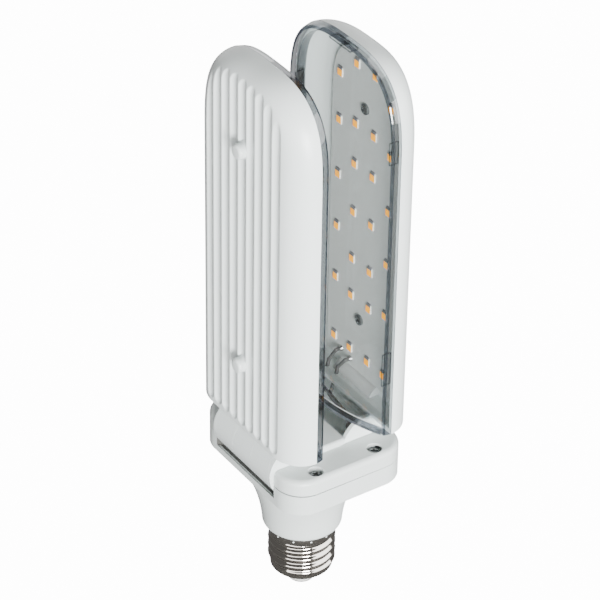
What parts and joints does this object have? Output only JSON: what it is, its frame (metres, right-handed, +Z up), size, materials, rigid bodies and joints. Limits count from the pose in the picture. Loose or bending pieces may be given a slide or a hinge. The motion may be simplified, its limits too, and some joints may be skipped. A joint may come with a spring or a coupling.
{
  "type": "folding grow bulb",
  "caption": "White screw-cap grow bulb with two fluted leaves that fold out on hinges, each with rows of yellow LEDs behind a clear window.",
  "frame": {"origin": "centre of the cap's bottom contact, on its face", "axes": "+Z up the cap axis towards the leaves; the hinges are parallel to Y and the right leaf is on +X"},
  "size_m": [0.0616, 0.0664, 0.2348],
  "materials": {
    "housing_white": "satin",
    "clear_plastic": "clear",
    "board_grey": "satin",
    "led_yellow": "gloss",
    "screw_dark": "satin",
    "solder_tin": "satin",
    "cap_nickel": "polished",
    "cap_insulator": "satin",
    "lead_grey": "satin",
    "lead_red": "satin",
    "driver_green": "satin",
    "part_black": "satin",
    "inductor_brown": "satin",
    "fuse_blue": "satin"
  },
  "bodies": {
    "hub": {"cap_shell": "cap_nickel", "cap_insulator": "cap_insulator", "centre_contact": "solder_tin", "lower_housing": "housing_white", "top_cover": "housing_white", "cover_screws": "screw_dark", "driver_board": "driver_green", "driver_capacitor": "part_black", "driver_inductor": "inductor_brown", "driver_bridge": "part_black", "driver_fuse": "fuse_blue", "input_leads": "lead_red"},
    "left_leaf": {"left_shell": "housing_white", "left_window": "clear_plastic", "left_led_board": "board_grey", "left_leds": "led_yellow", "left_board_screws": "screw_dark", "left_wire_guard": "housing_white", "left_solder": "solder_tin", "left_leads": "lead_grey", "left_sleeve": "lead_grey"},
    "right_leaf": {"right_shell": "housing_white", "right_window": "clear_plastic", "right_led_board": "board_grey", "right_leds": "led_yellow", "right_board_screws": "screw_dark", "right_wire_guard": "housing_white", "right_solder": "solder_tin", "right_leads": "lead_grey", "right_sleeve": "lead_grey"}
  },
  "joints": [
    {"name": "left_hinge", "type": "hinge", "parent": "hub", "child": "left_leaf", "pos_m": [-0.0164, 0, 0.0711], "axis": [0, -1, 0], "range_deg": [0, 90]},
    {"name": "right_hinge", "type": "hinge", "parent": "hub", "child": "right_leaf", "pos_m": [0.0164, 0, 0.0711], "axis": [0, 1, 0], "range_deg": [0, 90]}
  ]
}
